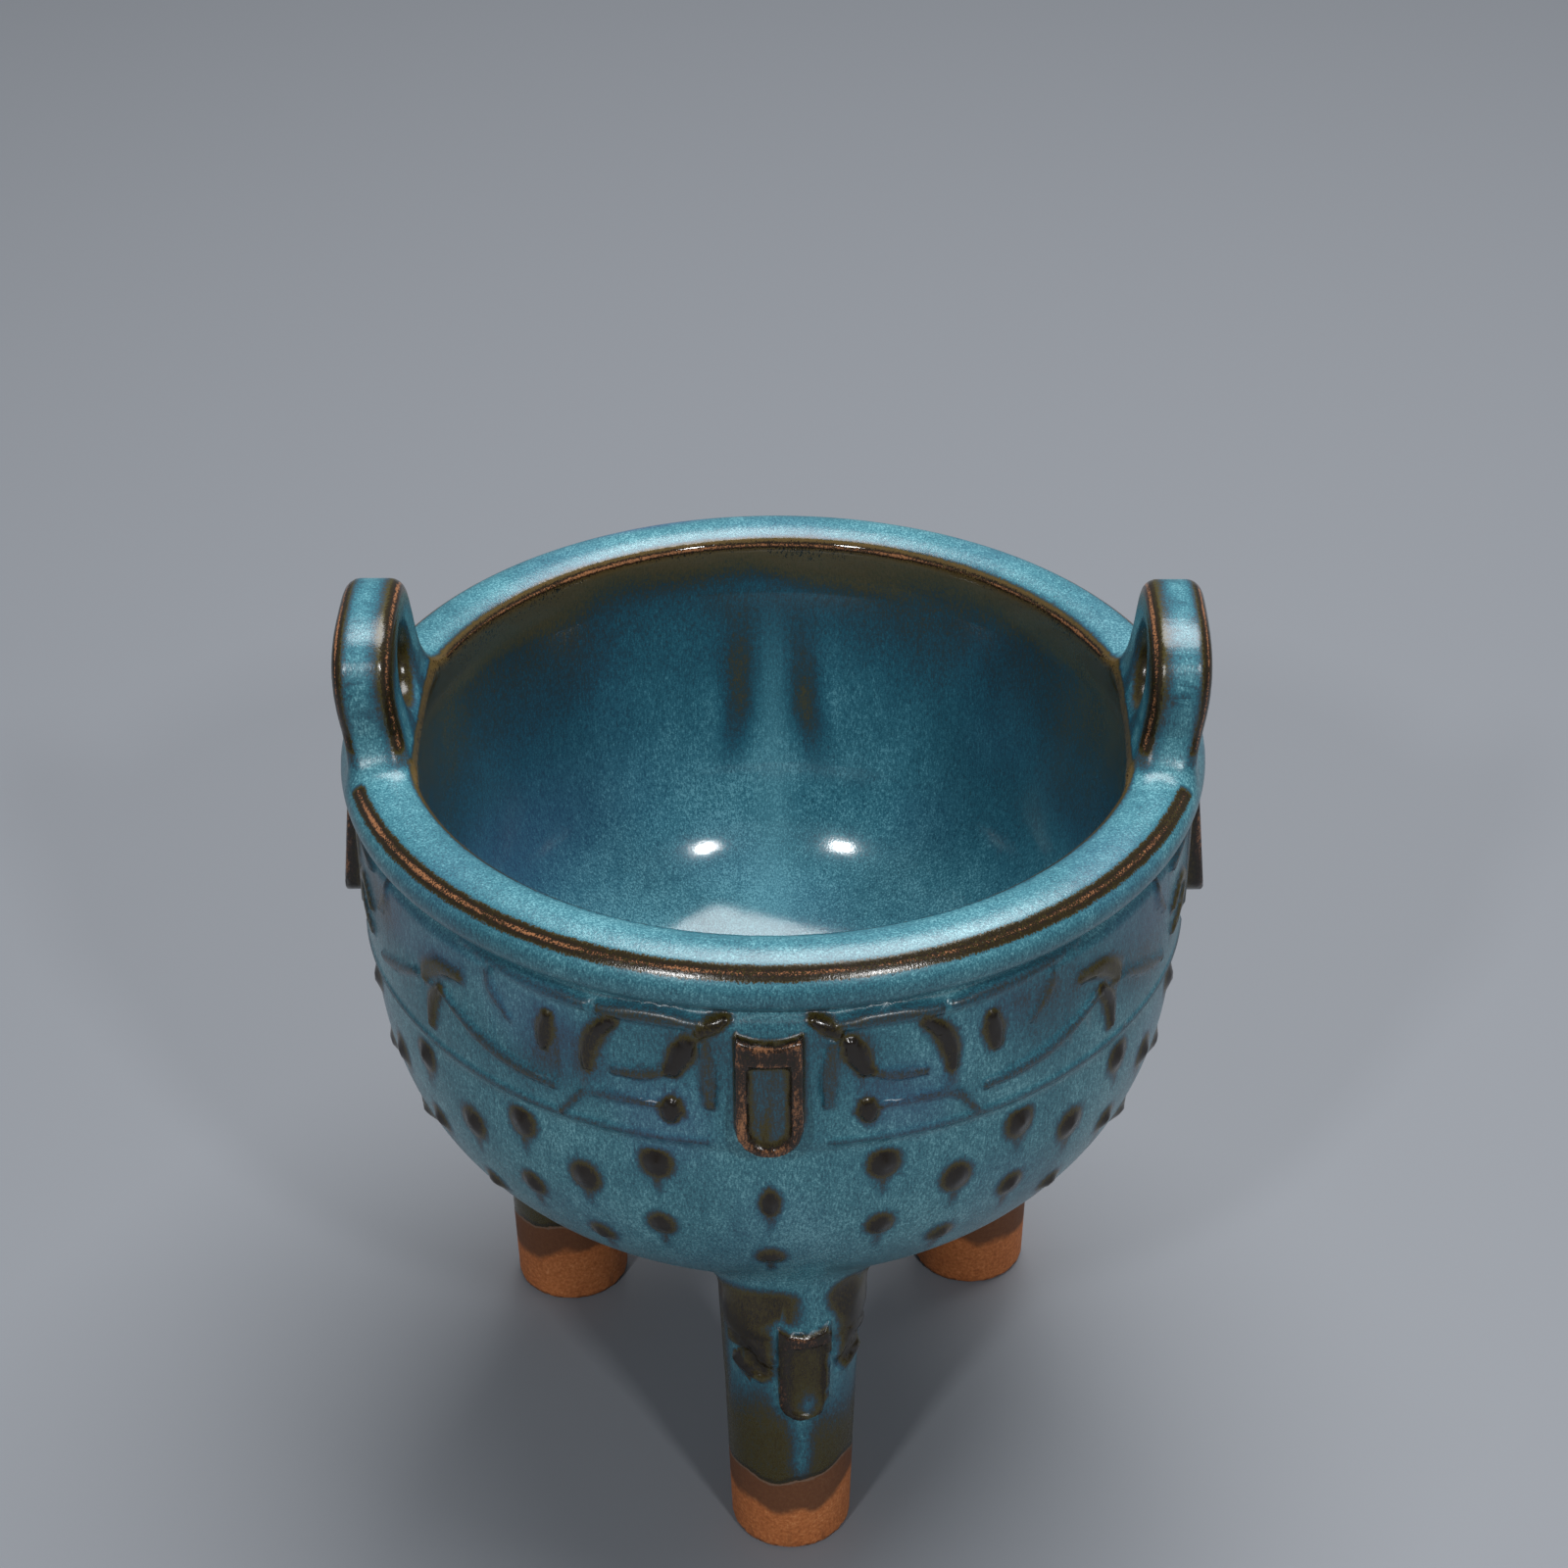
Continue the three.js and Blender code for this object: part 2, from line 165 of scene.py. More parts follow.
# Half of the mask beside a flange. A point is degrees from the flange's middle and
# depth below the rim line; then come the width, the rise and how thin the glaze is.
MASK_STROKES = [
    ([(5.6, 10.8), (7.4, 12.6), (8.6, 14.0)], 3.7, 1.00, 0.60),
    ([(9, 12.3), (15, 11.6), (22, 12.4)], 3.8, 0.88, 0.17),
    ([(24, 12.2), (33, 11.2), (44, 9.8)], 3.5, 0.76, 0.13),
    ([(8.0, 16.2), (7.6, 23), (7.5, 29.5)], 4.2, 1.13, 0.23),
    ([(10.2, 16.2), (10.8, 18.4), (12.2, 22.6)], 4.8, 1.50, 0.80),
    ([(12.4, 22.8), (16, 24.6), (20, 25.2)], 3.2, 0.88, 0.23),
    ([(20.2, 14.2), (22.4, 17.6), (23.6, 22), (23.8, 25.5)], 4.1, 1.20, 0.64),
    ([(23.8, 25.5), (23.6, 31)], 3.5, 0.63, 0.15),
    ([(29.4, 17.2), (30.2, 23.6)], 4.5, 1.20, 0.70),
    ([(38.9, 13), (38.3, 17), (35.6, 21.4)], 2.9, 0.76, 0.16),
    ([(44.5, 18), (48.5, 18.8), (51.5, 21.8), (52, 24)], 5.0, 1.10, 0.49),
    ([(48.6, 24), (50.6, 28), (51.3, 34)], 3.7, 1.10, 0.68),
    ([(48, 24.5), (42, 28.8), (36, 31.2), (29, 32.4)], 3.5, 1.01, 0.18),
    ([(12.4, 30.4), (12.7, 33)], 4.8, 1.40, 0.80),
    ([(14.5, 31), (20, 31), (24.4, 31.8), (27.9, 38)], 2.9, 0.76, 0.18),
    ([(54.5, 25), (60, 28.4), (66, 31.6)], 3.5, 0.88, 0.18),
    ([(62, 9.5), (63, 15), (66, 20.5)], 2.9, 0.76, 0.20),
    ([(68, 13), (74, 12.2), (82, 12.2)], 3.8, 1.01, 0.20),
    ([(82.5, 13), (83, 24), (83, 35)], 3.8, 1.03, 0.43),
    ([(70, 24), (74, 21), (77.5, 24), (75, 28), (71, 30)], 3.8, 1.03, 0.52),
    ([(8, 38.4), (30, 38.6), (60, 38.4), (82, 38.6)], 2.4, 0.51, 0.10),
]
STROKE_RISE = 0.8

# How thin the glaze is: 0 in a thick pool, and 1 where it has left the iron-rich slip bare. On the bowl's
# side walls it also carries painted shade.
STROKE_THIN_MOST = 0.78
FRIEZE_CLOUD_THIN = 0.38
# Depths, and the thinness on the studs at each
STUD_THIN = ((40, 58, 66, 76), (0.88, 0.86, 0.76, 0.66))
STUD_RUN = 9
STUD_RUN_THIN = 0.42
RIDGE_THIN = 0.74
FLANGE_POOL_THIN = 0.28
TAB_POOL_THIN = 0.62
TAB_HEAD_THIN = 0.96
LEG_LOW_THIN = 0.51
LEG_SIDE_THIN = 0.58
# Patches beside a tab, with points as in LEG_STROKES, then the width and the thinness
LEG_PATCHES = [
    ([(-22, 60.5), (-13, 64.5), (-5, 66)], 5.4, 0.66),
    ([(-17, 61), (-9.5, 56.5), (-7.6, 51.5)], 5.0, 0.74),
    ([(-14, 49.8), (-11.5, 47.8)], 1.7, 1.0),
    ([(8.5, 67), (11.5, 60), (11, 51)], 4.6, 0.7),
    ([(16, 68), (16.5, 56)], 4.6, 0.66),
]
# Glaze in the bowl. The darkening of its side walls is partly thinner glaze and partly painted shade.
BOWL_BAND_THIN = 0.66
BOWL_LOW_SHARE = 0.34
BOWL_SIDE_THIN_AND_SHADE = 0.56
BOWL_RING_THIN = 0.18
BOWL_STREAK_THIN = 0.43
BOWL_SPOT_THIN = 0.6
EAR_FACE_THIN = 0.55
EAR_HOLE_THIN = 0.62
EAR_INNER_THIN = 0.52
EAR_OUTER_THIN = 0.42

# In the bowl: the depth where the milky run starts, and one dark spot's place in radians
# around the axis from the back, radius and depth, and its size.
RUN_DEPTH = 25
SPOT_ANGLE = -0.53
SPOT_RADIUS = 68
SPOT_DEPTH = 19
SPOT_SIZE = 1.5

# Feet: the mean height where the glaze ends, the mean and the least gap from there down to
# the end of the dark wash on the clay, and how far the lines of each leg are turned.
GLAZE_END = 19.6
WASH_GAP = 5.2
WASH_GAP_LEAST = 0.4
FOOT_LINE_TURNS = (0.0, 40.0, -55.0)
FOOT_LINE_TOP = 45

# The copper lines are above this depth. Elsewhere a field says that its line is far away.
COPPER_DEPTH = 9
FAR_FROM_LINE = 9
FAR_ABOVE_FOOT = 30

# Grain sizes of the glaze and the clay in millimetres, and the scale that draws grains out upright.
GRAIN = 0.38
SPECK = 0.3
MOTTLE = 3.4
CLOUD = 22.0
COPPER_PATCH = 15.0
CLAY_GRAIN = 0.7
GLAZE_END_WAVE = 2.2
WASH_WAVE = 4.0
UPRIGHT = (1, 1, 0.34)

# Glaze colours from a thick pool to bare iron-rich slip, by how thin the glaze is.
GLAZE_STOPS = [
    (0.0, (0.17, 0.4, 0.45)),
    (0.12, (0.056, 0.2, 0.248)),
    (0.25, (0.024, 0.112, 0.155)),
    (0.36, (0.027, 0.066, 0.092)),
    (0.45, (0.034, 0.042, 0.042)),
    (0.56, (0.055, 0.044, 0.008)),
    (0.69, (0.034, 0.023, 0.005)),
    (0.78, (0.011, 0.008, 0.005)),
    (0.88, (0.036, 0.018, 0.010)),
    (1.0, (0.32, 0.14, 0.06)),
]
# Clay colours by grain.
CLAY_STOPS = [
    (0.0, (0.27, 0.075, 0.018)),
    (0.45, (0.46, 0.14, 0.036)),
    (0.75, (0.58, 0.2, 0.06)),
    (1.0, (0.7, 0.33, 0.14)),
]
# Away from the copper lines and the tabs the glaze is never thinner than this.
GLAZE_THIN_MOST = 0.79
# Thick glaze in the bowl multiplied darker and bluer: partly pooled glaze, partly painted shade.
BOWL_POOL_AND_SHADE_TINT = (0.85, 0.93, 0.98, 1)
OLIVE = (0.125, 0.08, 0.028, 1)
VIOLET = (0.065, 0.075, 0.21, 1)
MILKY = (0.16, 0.42, 0.5, 1)
DARK_END = (0.012, 0.01, 0.008, 1)
DARK_WASH = (0.085, 0.034, 0.014, 1)
PALE_RING = (0.25, 0.22, 0.17, 1)
GLAZE_IOR = 1.5
RELIEF_HEIGHT = 0.12
RELIEF_STRENGTH = 0.6

# The camera was solved from the photograph: place in millimetres, angles in degrees.
CAMERA_PLACE = (0.0, -533.08, 497.41)
CAMERA_PITCH = 33.604
CAMERA_YAW = 0.2216
CAMERA_ROLL = -0.3061
CAMERA_LENS = 76.136
CAMERA_SENSOR = 36
CAMERA_CLIP = (0.05, 50)

# Floor and room, in metres
FLOOR_HALF = 6.0
FLOOR_COLOUR = (0.2, 0.213, 0.235, 1)
FLOOR_ROUGHNESS = 0.6
ROOM_COLOUR = (0.62, 0.66, 0.72, 1)
ROOM_STRENGTH = 0.25
LIGHT_AIM = (0, 0, 0.1)
# Azimuth and elevation in degrees, distance and size in metres, power in watts. Azimuth 0
# is the front, and + is to the right.
LIGHTS = {
    "top": (150, 75, 1.4, 1.0, 28),
    "key_left": (-27, 38, 1.6, 0.12, 6.4),
    "key_right": (27, 38, 1.6, 0.12, 6.4),
}


def smooth_min(a, b, k):
    """The lower of two distances, with a fillet about k wide between them."""
    h = np.maximum(k - np.abs(a - b), 0) / k
    return np.minimum(a, b) - h * h * k / 4


def smooth_max(a, b, k):
    """The higher of two distances, with a fillet about k wide between them."""
    return -smooth_min(-a, -b, k)


def rounded_both(a, b, edge):
    """Inside both of two distances, with the corner between them rounded."""
    a, b = a + edge, b + edge
    return np.minimum(np.maximum(a, b), 0) + np.hypot(np.maximum(a, 0), np.maximum(b, 0)) - edge


def smooth_step(a, b, x):
    """0 up to a, rising smoothly to 1 at b."""
    t = np.clip((x - a) / (b - a), 0, 1)
    return t * t * (3 - 2 * t)


def fade_out(a, b, x):
    """1 up to a, falling smoothly to 0 at b."""
    return 1 - smooth_step(a, b, x)


def hump(x, width):
    """1 at x = 0, falling smoothly on both sides."""
    return np.exp(-(x / width) ** 2)


def spline(points, steps):
    """A smooth line through a few points."""
    p = np.array(points, float)
    p = np.vstack([2 * p[0] - p[1], p, 2 * p[-1] - p[-2]])
    t = np.linspace(0, 1, steps, endpoint=False)[:, None]
    parts = []
    for a, b, c, d in zip(p, p[1:], p[2:], p[3:]):
        parts.append(0.5 * (2 * b + (c - a) * t + (2 * a - 5 * b + 4 * c - d) * t**2
                            + (3 * b - a - 3 * c + d) * t**3))
    return np.vstack([*parts, p[-2]])


def line_distance(x, y, points):
    """Distance to a polyline, and how far along it the nearest spot is."""
    best = np.full(x.shape, 1e9)
    share = np.zeros(x.shape)
    count = len(points) - 1
    for i in range(count):
        (ax, ay), (bx, by) = points[i], points[i + 1]
        dx, dy = bx - ax, by - ay
        t = np.clip(((x - ax) * dx + (y - ay) * dy) / (dx * dx + dy * dy), 0, 1)
        d = np.hypot(x - ax - t * dx, y - ay - t * dy)
        share = np.where(d < best, (i + t) / count, share)
        best = np.minimum(best, d)
    return best, share


class Outline:
    """A closed outline as a table of signed distances, negative inside."""
    margin = 12

    def __init__(self, points, step):
        points = np.array(points, float)
        self.low = points.min(0) - self.margin
        self.step = step
        size = np.ceil((points.max(0) + self.margin - self.low) / step).astype(int) + 1
        x, y = np.meshgrid(*[self.low[i] + step * np.arange(size[i]) for i in (0, 1)], indexing="ij")
        best = np.full(x.shape, 1e9)
        inside = np.zeros(x.shape, bool)
        for (ax, ay), (bx, by) in zip(points, np.roll(points, -1, 0)):
            dx, dy = bx - ax, by - ay
            t = np.clip(((x - ax) * dx + (y - ay) * dy) / max(dx * dx + dy * dy, 1e-9), 0, 1)
            best = np.minimum(best, (x - ax - t * dx) ** 2 + (y - ay - t * dy) ** 2)
            if ay != by:
                inside ^= ((ay > y) != (by > y)) & (x < ax + (y - ay) * dx / dy)
        self.table = np.where(inside, -1, 1) * np.sqrt(best)

    def __call__(self, x, y):
        u = np.clip((x - self.low[0]) / self.step, 0, self.table.shape[0] - 1.001)
        v = np.clip((y - self.low[1]) / self.step, 0, self.table.shape[1] - 1.001)
        i, j = u.astype(int), v.astype(int)
        u, v = u - i, v - j
        t = self.table
        return ((t[i, j] * (1 - v) + t[i, j + 1] * v) * (1 - u)
                + (t[i + 1, j] * (1 - v) + t[i + 1, j + 1] * v) * u)


def tab_outline(width, length, dip):
    """A hanging tab with a sagging top and a round foot, from y = 0 down."""
    half = width / 2
    turn = np.linspace(math.pi, 2 * math.pi, 17)
    points = [(half * math.cos(a), half - length + half * math.sin(a)) for a in turn]
    return points + [(half - 2 * half * t, -4 * dip * t * (1 - t)) for t in np.linspace(0, 1, 9)]


class Tab:
    """A raised hanging tab with a sunk panel below its head."""
    step = 0.15
    edge = 0.9

    def __init__(self, width, length, dip, head, rim, panel):
        self.plate = Outline(tab_outline(width, length, dip), self.step)
        self.hollow = Outline(tab_outline(width - 2 * rim, length - head - rim, 0), self.step)
        self.head = head
        self.panel = panel

    def solid(self, across, down, height, face):
        """Signed distance: height is a point's height above the wall, and face is the tab's."""
        plate = rounded_both(self.plate(across, down), height - face, self.edge)
        pocket = smooth_max(self.hollow(across, down + self.head), face - self.panel - height, 0.6)
        return smooth_max(plate, -pocket, 1.0)

    def thinness(self, across, down, height, pool):
        """Where the tab is, and its glaze: thin on its ridges and head, pooled in its panel."""
        on = fade_out(-0.2, 0.9, self.plate(across, down)) * smooth_step(0.5, 1.3, height)
        pocket = fade_out(-1.3, 0.1, self.hollow(across, down + self.head))
        return on, on * (RIDGE_THIN - (RIDGE_THIN - pool) * pocket)


def underside(radius, drop):
    """Points of the bowl's curve from the axis up to its widest level."""
    angle = np.linspace(0, math.pi / 2, 40)
    across = radius * np.sin(angle) ** (2 / ROUNDNESS)
    level = -BELLY_LEVEL - drop * np.cos(angle) ** (2 / ROUNDNESS)
    return list(zip(across, level))


def bowl_outline():
    """The bowl's section, from its inside floor over the lip and down to the underside."""
    inner = underside(BELLY_RADIUS - WALL, UNDERSIDE_DROP - FLOOR_THICKNESS)
    outer = underside(BELLY_RADIUS, UNDERSIDE_DROP)
    lip = [tuple(point) for point in spline(LIP_SECTION, 5)]
    return inner + lip + FRIEZE_SECTION + outer[::-1]


def hollow_outline():
    """The section of the bowl's hollow, and of the air straight above it."""
    inner = underside(BELLY_RADIUS - WALL, UNDERSIDE_DROP - FLOOR_THICKNESS)
    mouth = [(BELLY_RADIUS - WALL, -5), (MOUTH_RADIUS, -1)]
    return inner + mouth + [(MOUTH_RADIUS, HOLLOW_TOP), (0, HOLLOW_TOP)]


def ear_outline():
    """An ear from its root in the wall up to its round arched top."""
    foot = EAR_WIDTH / 2
    angle = np.linspace(0, math.pi / 2, 16)
    across = EAR_TOP_WIDTH / 2 * np.cos(angle) ** (2 / EAR_ARCH)
    level = EAR_SPRING + (EAR_HEIGHT - EAR_SPRING) * np.sin(angle) ** (2 / EAR_ARCH)
    half = [(foot + EAR_FLARE, -EAR_ROOT), (foot + EAR_FLARE, -1), (foot, 3), *zip(across, level)]
    return half + [(-x, y) for x, y in half[-2::-1]]


BOWL = Outline(bowl_outline(), 0.25)
HOLLOW = Outline(hollow_outline(), 0.5)
EAR = Outline(ear_outline(), 0.25)
FLANGE = Tab(FLANGE_WIDTH, FLANGE_LENGTH, FLANGE_DIP, FLANGE_HEAD, FLANGE_RIM, FLANGE_PANEL)
LEG_TAB = Tab(TAB_WIDTH, TAB_TOP - TAB_FOOT, TAB_DIP, TAB_HEAD, TAB_RIM, TAB_PANEL)


def section_place(p):
    """Distance from the bowl's axis, and height above the rim line."""
    return np.hypot(p[:, 0], p[:, 1]), p[:, 2] - RIM


def back_angle(p):
    """Angle around the axis from the back, in radians, + to the right."""
    return np.arctan2(p[:, 0], p[:, 1])


def front_turn(p):
    """Degrees around the axis from the front flange's middle, + to the right."""
    return np.degrees(np.arctan2(p[:, 0], -p[:, 1])) - FLANGE_TURN


def wall_place(p):
    """Degrees from the nearest flange's middle, depth and radius."""
    turn = front_turn(p)
    radius, level = section_place(p)
    return turn - 90 * np.round(turn / 90), -level, radius


def mask_place(p):
    """Degrees from the nearer of the front and back flanges, signed, and the depth."""
    turn = (front_turn(p) + 180) % 360 - 180
    back = np.abs(turn) > 90
    return np.where(back, np.sign(turn) * 180 - turn, turn), RIM - p[:, 2]


def ear_place(p):
    """Across, height above the rim line, offset through its thickness and half thickness."""
    turn = math.radians(EAR_TURN)
    x = p[:, 0] * math.cos(turn) + p[:, 1] * math.sin(turn)
    across = -p[:, 0] * math.sin(turn) + p[:, 1] * math.cos(turn)
    level = p[:, 2] - RIM
    share = np.clip(level / EAR_HEIGHT, 0, 1)
    root = np.clip(-level / 10, 0, 1)
    middle = MOUTH_RADIUS - EAR_INSET + EAR_THICKNESS / 2
    lean = np.maximum(level, 0) * math.tan(math.radians(EAR_LEAN)) + 4 * EAR_BOW * share * (1 - share)
    centre = middle + lean + root * (BELLY_RADIUS - 0.6 * WALL - middle)
    return across, level, np.abs(x) - centre, EAR_THICKNESS / 2 * (1 - root)


def ear_hole(across, level):
    """About the distance from the hole's edge, negative inside it."""
    half_width, half_height, middle = EAR_HOLE
    return (np.hypot(across / half_width, (level - middle) / half_height) - 1) * EAR_HOLE_SCALE


def ears(p):
    """Signed distance to both ears."""
    across, level, through, half = ear_place(p)
    shape = smooth_max(EAR(across, level), -ear_hole(across, level), 1.0)
    return rounded_both(shape, np.abs(through) - half, EAR_EDGE)


def leg_place(p):
    """For the nearest leg: degrees from its outward side, distance from its axis, which leg."""
    best = np.full(len(p), 1e9)
    turn, which = np.zeros(len(p)), np.zeros(len(p), int)
    for i in range(3):
        t = math.radians(LEG_TURN + 120 * i)
        dx, dy = p[:, 0] - LEG_CIRCLE * math.sin(t), p[:, 1] + LEG_CIRCLE * math.cos(t)
        d = np.hypot(dx, dy)
        angle = (np.degrees(np.arctan2(dx, -dy)) - math.degrees(t) + 180) % 360 - 180
        turn, which = np.where(d < best, angle, turn), np.where(d < best, i, which)
        best = np.minimum(best, d)
    return turn, best, which


def tab_turn(turn):
    """Degrees around a leg from its tab's middle."""
    return (turn - TAB_TURN + 180) % 360 - 180


def leg_radius(z):
    """Radius of a leg at a height above the table."""
    return np.interp(z, *zip(*LEG_PROFILE))


def leg_relief(turn, z):
    """Low carving beside the tab at the top of a leg."""
    rise = np.zeros(len(z))
    for side in (-1, 1):
        around = np.radians(turn - side * BOSS_TURN) * BOSS_RADIUS
        boss = np.hypot(around / BOSS_SIZE[0], (z - BOSS_LEVEL) / BOSS_SIZE[1])
        rise += BOSS_RISE * fade_out(0.35, 1.05, boss)
    x = np.radians(np.abs(turn)) * CARVING_RADIUS
    for points, width, height in LEG_STROKES:
        d, _ = line_distance(x, z, spline(points, 4))
        rise = np.maximum(rise, height * fade_out(0.3, 1.1, d / (width / 2)))
    return rise


def legs(p):
    """Signed distance to the three legs."""
    turn, distance, _ = leg_place(p)
    z = p[:, 2]
    out = distance - leg_radius(z)
    shaft = rounded_both(out, -z, LEG_EDGE)
    local = tab_turn(turn)
    tab = LEG_TAB.solid(np.radians(local) * TAB_RADIUS, z - TAB_TOP, out, TAB_RISE)
    tab = np.where(np.abs(local) < TAB_REACH, tab, 5.0)
    return smooth_min(shaft - leg_relief(local, z), tab, 1.0)


def wall_radius(depth):
    """Radius of the plain wall at a depth."""
    share = np.clip((depth - BELLY_LEVEL) / UNDERSIDE_DROP, 0, 0.999)
    return BELLY_RADIUS * (1 - share ** ROUNDNESS) ** (1 / ROUNDNESS)


def stud_field(p):
    """Distance from the nearest stud's middle, 1 at its edge."""
    turn, depth, radius = wall_place(p)
    best = np.full(len(p), 9.0)
    for stud_turn, stud_depth in STUDS:
        dx = np.radians(turn - stud_turn) * radius
        drop = depth - stud_depth
        dy = np.sign(drop) * np.hypot(drop, wall_radius(depth) - wall_radius(stud_depth))
        high = stud_depth < LOW_STUD_DEPTH
        narrow = MIDDLE_STUD_SHARE if stud_turn == 0 and high else 1.0
        size = 1.0 if high else LOW_STUD_SHARE
        best = np.minimum(best, np.hypot(dx / (STUD_SIZE[0] * narrow), dy / STUD_SIZE[1]) / size)
    return best


def stroke_fields(p):
    """Rise and glaze thinness of the mask's strokes."""
    turn, depth = mask_place(p)
    per_degree = math.radians(1) * FRIEZE_RADIUS
    x = np.radians(np.abs(turn)) * FRIEZE_RADIUS
    rise, thin = np.zeros(len(p)), np.zeros(len(p))
    for points, width, height, bare in MASK_STROKES:
        line = spline([(a * per_degree, b) for a, b in points], 4)
        d, share = line_distance(x, depth, line)
        taper = 0.62 + 0.38 * np.sin(np.pi * np.clip(share, 0.08, 0.92))
        d = d / (width / 2 * taper)
        rise = np.maximum(rise, height * fade_out(0.25, 1.15, d))
        thin = np.maximum(thin, bare * fade_out(0.35, 1.7, d))
    band = smooth_step(*STROKES_START, depth) * fade_out(*STROKES_END, depth)
    return rise * band, thin * band


def wall_relief(p, shell, hollow):
    """Rise of the strokes and studs, worked out only near the outside wall."""
    _, depth, radius = wall_place(p)
    near = (hollow > 4) & (np.abs(shell) < 6) & (radius > 45)
    near &= (depth > RELIEF_TOP) & (depth < RELIEF_FOOT)
    relief = np.zeros(len(p))
    if near.any():
        rise, _ = stroke_fields(p[near])
        stud = STUD_RISE * np.clip(1.06 - stud_field(p[near]), 0, 1) ** 1.2
        relief[near] = np.maximum(STROKE_RISE * rise, stud)
    return relief


def flanges(p):
    """Signed distance to the four flanges, which rise more towards their feet."""
    turn, depth, radius = wall_place(p)
    down = FLANGE_TOP - depth
    top, foot = FLANGE_RISE
    face = top + (foot - top) * np.clip(-down / FLANGE_LENGTH, 0, 1)
    flange = FLANGE.solid(np.radians(turn) * BELLY_RADIUS, down, radius - BELLY_RADIUS, face)
    return np.maximum(flange, BELLY_RADIUS - 3 - radius)


def surface(p):
    """Signed distance to the whole censer, negative inside."""
    radius, level = section_place(p)
    shell = BOWL(radius, level)
    hollow = HOLLOW(radius, level)
    body = shell - wall_relief(p, shell, hollow)
    body = smooth_min(body, flanges(p), FLANGE_FILLET)
    body = smooth_min(body, np.maximum(legs(p), LEG_STOP - hollow), LEG_FILLET)
    return smooth_min(body, ears(p), EAR_FILLET)


def gradient(p, step=SLOPE_STEP):
    """Slope of the signed distance along each axis."""
    g = np.empty_like(p)
    for i in range(3):
        e = np.zeros(3)
        e[i] = step
        g[:, i] = (surface(p + e) - surface(p - e)) / (2 * step)
    return g


def settle(p, rounds):
    """Moves points onto the surface along its gradient."""
    for _ in range(rounds):
        g = gradient(p)
        square = np.maximum((g * g).sum(1), 0.25)
        step = (surface(p) / square)[:, None] * g
        length = np.linalg.norm(step, axis=1)[:, None]
        p = p - step * np.minimum(1, 0.8 / np.maximum(length, 1e-9)) * 0.9
    return p


def bend_of(p):
    """How strongly the surface bulges, positive on edges and negative in hollows."""
    total = -6 * surface(p)
    for i in range(3):
        for sign in (-1, 1):
            e = np.zeros(3)
            e[i] = sign * BEND_REACH
            total += surface(p + e)
    return total / BEND_REACH


def vertices(mesh):
    """A mesh's vertices in millimetres."""
    co = np.empty(len(mesh.vertices) * 3, np.float32)
    mesh.vertices.foreach_get("co", co)
    return co.reshape(-1, 3).astype(float) / MM


def store_vertices(mesh, co):
    """Moves a mesh's vertices to places in millimetres."""
    mesh.vertices.foreach_set("co", (co * MM).astype(np.float32).ravel())
    mesh.update()


def edges(mesh):
    """The two vertices of each edge."""
    pairs = np.empty(len(mesh.edges) * 2, np.int32)
    mesh.edges.foreach_get("vertices", pairs)
    return pairs.reshape(-1, 2)


def relaxed(co, pairs, amount):
    """Evens out the spacing of neighbouring points."""
    total, count = np.zeros_like(co), np.zeros(len(co))
    for a, b in (pairs.T, pairs[:, ::-1].T):
        for i in range(3):
            total[:, i] += np.bincount(a, co[b, i], len(co))
        count += np.bincount(a, minlength=len(co))
    return co + amount * (total / count[:, None] - co)


def apply_modifiers(piece):
    graph = bpy.context.evaluated_depsgraph_get()
    made = bpy.data.meshes.new_from_object(piece.evaluated_get(graph))
    piece.modifiers.clear()
    piece.data = made


def remeshed(node, name, voxel):
    """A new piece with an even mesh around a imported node."""
    piece = bpy.data.objects.new(name, node.data.copy())
    bpy.context.scene.collection.objects.link(piece)
    piece.data.materials.clear()
    modifier = piece.modifiers.new("Even", "REMESH")
    modifier.mode = "VOXEL"
    modifier.voxel_size = voxel * MM
    apply_modifiers(piece)
    return piece


def thinned(piece, triangles):
    """Fewer triangles, and most of all where the form is plain."""
    co = vertices(piece.data)
    plain = piece.vertex_groups.new(name="plain")
    radius, level = section_place(co)
    inside = HOLLOW(radius, level) < 1.0
    deep = inside & (co[:, 2] < RIM - 62)
    below = (co[:, 2] < 62) & (radius < 74) & ~inside
    for mask, weight in ((deep, 0.8), (inside & ~deep, 0.35), (below, 0.5), (~inside & ~below, 0.3)):
        plain.add(np.nonzero(mask)[0].tolist(), weight, "REPLACE")
    count = sum(len(f.vertices) - 2 for f in piece.data.polygons)
    modifier = piece.modifiers.new("Fewer", "DECIMATE")
    modifier.ratio = min(1, triangles / count)
    modifier.vertex_group = "plain"
    modifier.vertex_group_factor = 1.0
    apply_modifiers(piece)
    piece.vertex_groups.clear()


def build_piece(node):
    """The whole censer as one smooth mesh."""
    piece = remeshed(node, "censer_glazed", VOXEL)
    mesh = piece.data
    co = vertices(mesh)
    pairs = edges(mesh)
    for _ in range(2):
        co = settle(co, 1)
        co = relaxed(co, pairs, 0.5)
    store_vertices(mesh, settle(co, 2))
    thinned(piece, TRIANGLES)
    mesh = piece.data
    store_vertices(mesh, settle(vertices(mesh), 1))
    normals = gradient(vertices(mesh), NORMAL_STEP)
    normals /= np.linalg.norm(normals, axis=1)[:, None]
    mesh.shade_smooth()
    mesh.normals_split_custom_set_from_vertices(normals.tolist())
    return piece


def variation(p, size, seed):
    """Slow even variation from 0 to 1, with waves about size across."""
    rng = np.random.default_rng(seed)
    total = np.zeros(len(p))
    for _ in range(5):
        way = rng.normal(size=3)
        way *= 2 * math.pi / size * rng.uniform(0.6, 1.4) / np.linalg.norm(way)
        total += np.sin(p @ way + rng.uniform(0, 6.3))
    return np.clip(0.5 + total / 6, 0, 1)


